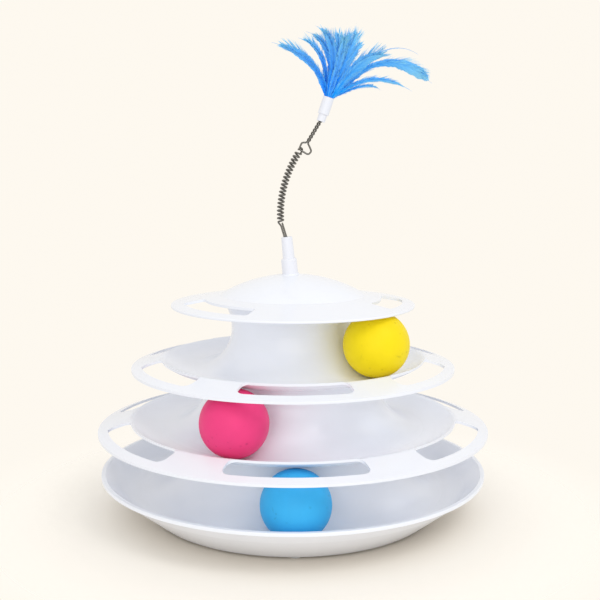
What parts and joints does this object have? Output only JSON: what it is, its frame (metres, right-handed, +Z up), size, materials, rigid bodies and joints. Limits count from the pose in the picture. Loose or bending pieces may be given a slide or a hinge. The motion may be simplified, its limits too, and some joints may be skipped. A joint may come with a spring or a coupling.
{
  "type": "cat ball track toy",
  "caption": "Tiered round tower of ball tracks for cats, with slotted flanges, a coloured ball trapped in each track and a feather wand on a coil spring at the top.",
  "frame": {"origin": "centre of the base at floor level, on the tower's axis", "axes": "+Z up along the tower's axis, -Y towards the front of the picture, +X to its right"},
  "size_m": [0.25, 0.25, 0.3058],
  "materials": {
    "white_plastic": "glossy injection-moulded polypropylene",
    "pad_rubber": "matte translucent rubber",
    "blue_foam": "matte pitted foam",
    "pink_foam": "matte pitted foam",
    "yellow_foam": "matte pitted foam",
    "steel_wire": "dull drawn spring wire",
    "blue_feather": "dyed downy feather"
  },
  "bodies": {
    "base": {"base_tray": "white_plastic", "floor_pads": "pad_rubber"},
    "lower_tier": {"lower_track": "white_plastic"},
    "upper_tier": {"upper_track": "white_plastic"},
    "cap": {"top_cap": "white_plastic"},
    "ball_in_base": {"blue_ball": "blue_foam"},
    "ball_in_lower": {"pink_ball": "pink_foam"},
    "ball_in_upper": {"yellow_ball": "yellow_foam"},
    "wand_foot": {"wand_socket": "white_plastic"},
    "wand_stem": {"wand_sleeve": "white_plastic", "spring_wire": "steel_wire"},
    "wand_tip": {"hanger_wire": "steel_wire", "feather_ferrule": "white_plastic", "feather_01": "blue_feather", "feather_02": "blue_feather", "feather_03": "blue_feather", "feather_04": "blue_feather", "feather_05": "blue_feather", "feather_06": "blue_feather", "feather_07": "blue_feather", "feather_08": "blue_feather", "feather_09": "blue_feather", "feather_10": "blue_feather", "feather_11": "blue_feather", "feather_12": "blue_feather", "feather_13": "blue_feather", "feather_14": "blue_feather", "feather_15": "blue_feather"}
  },
  "joints": [
    {"name": "lower_tier_lift", "type": "slide", "parent": "base", "child": "lower_tier", "axis": [0, 0, 1], "range_m": [0, 0.06]},
    {"name": "upper_tier_lift", "type": "slide", "parent": "lower_tier", "child": "upper_tier", "axis": [0, 0, 1], "range_m": [0, 0.06]},
    {"name": "cap_lift", "type": "slide", "parent": "upper_tier", "child": "cap", "axis": [0, 0, 1], "range_m": [0, 0.06]},
    {"name": "blue_ball_orbit", "type": "hinge", "parent": "base", "child": "ball_in_base", "pos_m": [0, 0, 0.0341], "axis": [0, 0, 1], "continuous": true},
    {"name": "pink_ball_orbit", "type": "hinge", "parent": "lower_tier", "child": "ball_in_lower", "pos_m": [0, 0, 0.07526], "axis": [0, 0, 1], "continuous": true},
    {"name": "yellow_ball_orbit", "type": "hinge", "parent": "upper_tier", "child": "ball_in_upper", "pos_m": [0, 0, 0.11426], "axis": [0, 0, 1], "continuous": true},
    {"name": "wand_pull", "type": "slide", "parent": "cap", "child": "wand_foot", "axis": [-0.0958, 0, 0.9954], "range_m": [0, 0.04]},
    {"name": "wand_swivel", "type": "hinge", "parent": "wand_foot", "child": "wand_stem", "pos_m": [-0.0017, 0, 0.15325], "axis": [-0.0958, 0, 0.9954], "continuous": true},
    {"name": "wand_sway", "type": "hinge", "parent": "wand_stem", "child": "wand_tip", "pos_m": [-0.00549, 0, 0.20906], "axis": [0, 1, 0], "range_deg": [-35, 35], "stiffness_Nm_per_rad": 0.06, "deforming": ["spring_wire"]}
  ]
}
